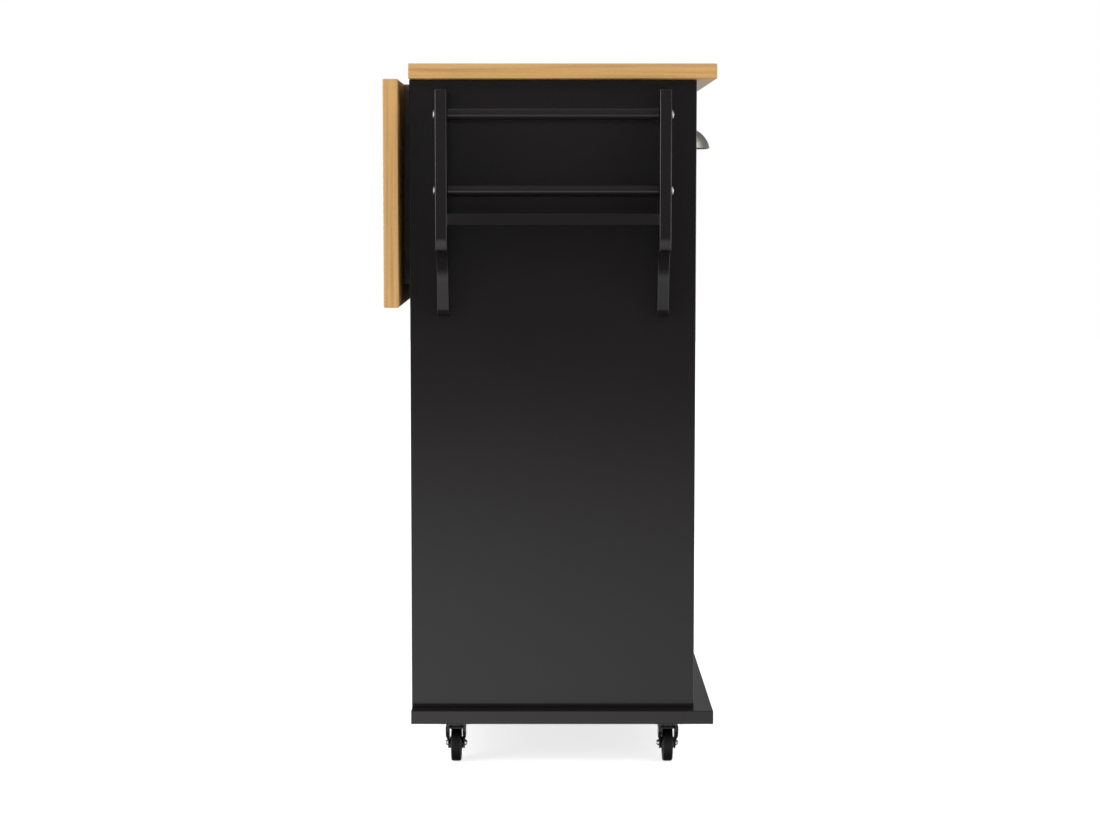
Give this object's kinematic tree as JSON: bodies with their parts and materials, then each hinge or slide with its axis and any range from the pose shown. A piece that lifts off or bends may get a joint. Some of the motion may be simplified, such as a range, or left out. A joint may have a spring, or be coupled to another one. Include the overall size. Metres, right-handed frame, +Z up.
{
  "type": "rolling kitchen island",
  "caption": "Rolling kitchen island: worktop with a drop leaf on folding brackets, drawers over cupboards, open shelves between, spice rack, towel bar, swivel casters.",
  "frame": {"origin": "on the floor under the middle of the whole island, leaf and racks included", "axes": "+X along the worktop to the right of someone facing the doors, +Y from the doors to the drop leaf, +Z up"},
  "size_m": [1.2, 0.4416, 0.94],
  "materials": {
    "top_wood": "satin clear lacquer on finger-jointed hardwood",
    "black_paint": "satin black lacquer on fibreboard",
    "drawer_wood": "pale plywood, thin clear coat",
    "nickel": "brushed nickel plate",
    "bracket_steel": "dull grey zinc",
    "runner_steel": "bright zinc",
    "hinge_steel": "blackened steel",
    "fastener_steel": "bright zinc",
    "caster_steel": "black electro-coat",
    "wheel_rubber": "smooth black rubber",
    "catch_plastic": "matte black"
  },
  "bodies": {
    "cabinet": {"worktop": "top_wood", "base_board": "black_paint", "side_panel_left": "black_paint", "side_panel_right": "black_paint", "partition_left": "black_paint", "partition_right": "black_paint", "back_panel": "black_paint", "drawer_rails": "black_paint", "shelf_left": "black_paint", "shelf_right": "black_paint", "centre_shelves": "black_paint", "shelf_pins": "fastener_steel", "cabinet_runners": "runner_steel", "cabinet_hinge_leaves": "hinge_steel", "hinge_pins": "hinge_steel", "door_catches": "catch_plastic", "spice_bracket_front": "black_paint", "spice_bracket_back": "black_paint", "spice_rails": "black_paint", "spice_shelf": "black_paint", "towel_bracket_front": "black_paint", "towel_bracket_back": "black_paint", "towel_rails": "black_paint", "rack_bolts": "fastener_steel", "wall_channels": "bracket_steel", "wall_channel_screws": "fastener_steel", "bracket_rivets": "bracket_steel", "caster_plates": "runner_steel", "caster_screws": "fastener_steel"},
    "leaf": {"drop_leaf": "top_wood", "leaf_arms": "bracket_steel", "leaf_arm_screws": "fastener_steel"},
    "brace_left": {"brace_left": "bracket_steel"},
    "brace_right": {"brace_right": "bracket_steel"},
    "drawer_left": {"drawer_left_front": "black_paint", "drawer_left_box": "drawer_wood", "drawer_left_bottom": "drawer_wood", "drawer_left_slides": "runner_steel", "drawer_left_pull": "nickel"},
    "door_left": {"door_left_frame": "black_paint", "door_left_panel": "black_paint", "door_left_knob": "nickel", "door_left_hinge_leaves": "hinge_steel"},
    "drawer_right": {"drawer_right_front": "black_paint", "drawer_right_box": "drawer_wood", "drawer_right_bottom": "drawer_wood", "drawer_right_slides": "runner_steel", "drawer_right_pull": "nickel"},
    "door_right": {"door_right_frame": "black_paint", "door_right_panel": "black_paint", "door_right_knob": "nickel", "door_right_hinge_leaves": "hinge_steel"},
    "fork_front_left": {"caster_fork_front_left": "caster_steel"},
    "wheel_front_left": {"caster_wheel_front_left": "wheel_rubber"},
    "fork_back_left": {"caster_fork_back_left": "caster_steel"},
    "wheel_back_left": {"caster_wheel_back_left": "wheel_rubber"},
    "fork_front_right": {"caster_fork_front_right": "caster_steel"},
    "wheel_front_right": {"caster_wheel_front_right": "wheel_rubber"},
    "fork_back_right": {"caster_fork_back_right": "caster_steel"},
    "wheel_back_right": {"caster_wheel_back_right": "wheel_rubber"}
  },
  "joints": [
    {"name": "leaf_fold", "type": "hinge", "parent": "cabinet", "child": "leaf", "pos_m": [0, 0.19475, 0.914], "axis": [1, 0, 0], "range_deg": [0, 90]},
    {"name": "brace_left_fold", "type": "hinge", "parent": "cabinet", "child": "brace_left", "pos_m": [-0.388, 0.19475, 0.863], "axis": [1, 0, 0], "range_deg": [0, 105.7]},
    {"name": "brace_right_fold", "type": "hinge", "parent": "cabinet", "child": "brace_right", "pos_m": [0.388, 0.19475, 0.863], "axis": [1, 0, 0], "range_deg": [0, 105.7]},
    {"name": "drawer_left_slide", "type": "slide", "parent": "cabinet", "child": "drawer_left", "axis": [0, -1, 0], "range_m": [0, 0.23]},
    {"name": "drawer_right_slide", "type": "slide", "parent": "cabinet", "child": "drawer_right", "axis": [0, -1, 0], "range_m": [0, 0.23]},
    {"name": "door_left_hinge", "type": "hinge", "parent": "cabinet", "child": "door_left", "pos_m": [-0.5084, -0.19235, 0.42], "axis": [0, 0, -1], "range_deg": [0, 110]},
    {"name": "door_right_hinge", "type": "hinge", "parent": "cabinet", "child": "door_right", "pos_m": [0.5084, -0.19235, 0.42], "axis": [0, 0, 1], "range_deg": [0, 110]},
    {"name": "front_left_swivel", "type": "hinge", "parent": "cabinet", "child": "fork_front_left", "pos_m": [-0.513, -0.15875, 0.055], "axis": [0, 0, 1], "continuous": true},
    {"name": "front_left_spin", "type": "hinge", "parent": "fork_front_left", "child": "wheel_front_left", "pos_m": [-0.495, -0.15875, 0.025], "axis": [0, 1, 0], "continuous": true},
    {"name": "back_left_swivel", "type": "hinge", "parent": "cabinet", "child": "fork_back_left", "pos_m": [-0.513, 0.12825, 0.055], "axis": [0, 0, 1], "continuous": true},
    {"name": "back_left_spin", "type": "hinge", "parent": "fork_back_left", "child": "wheel_back_left", "pos_m": [-0.495, 0.12825, 0.025], "axis": [0, 1, 0], "continuous": true},
    {"name": "front_right_swivel", "type": "hinge", "parent": "cabinet", "child": "fork_front_right", "pos_m": [0.513, -0.15875, 0.055], "axis": [0, 0, 1], "continuous": true},
    {"name": "front_right_spin", "type": "hinge", "parent": "fork_front_right", "child": "wheel_front_right", "pos_m": [0.495, -0.15875, 0.025], "axis": [0, 1, 0], "continuous": true},
    {"name": "back_right_swivel", "type": "hinge", "parent": "cabinet", "child": "fork_back_right", "pos_m": [0.513, 0.12825, 0.055], "axis": [0, 0, 1], "continuous": true},
    {"name": "back_right_spin", "type": "hinge", "parent": "fork_back_right", "child": "wheel_back_right", "pos_m": [0.495, 0.12825, 0.025], "axis": [0, 1, 0], "continuous": true}
  ],
  "couplings": [
    {"joint": "brace_left_fold", "follows": "leaf_fold", "ratio": 1.173},
    {"joint": "brace_right_fold", "follows": "leaf_fold", "ratio": 1.173}
  ]
}
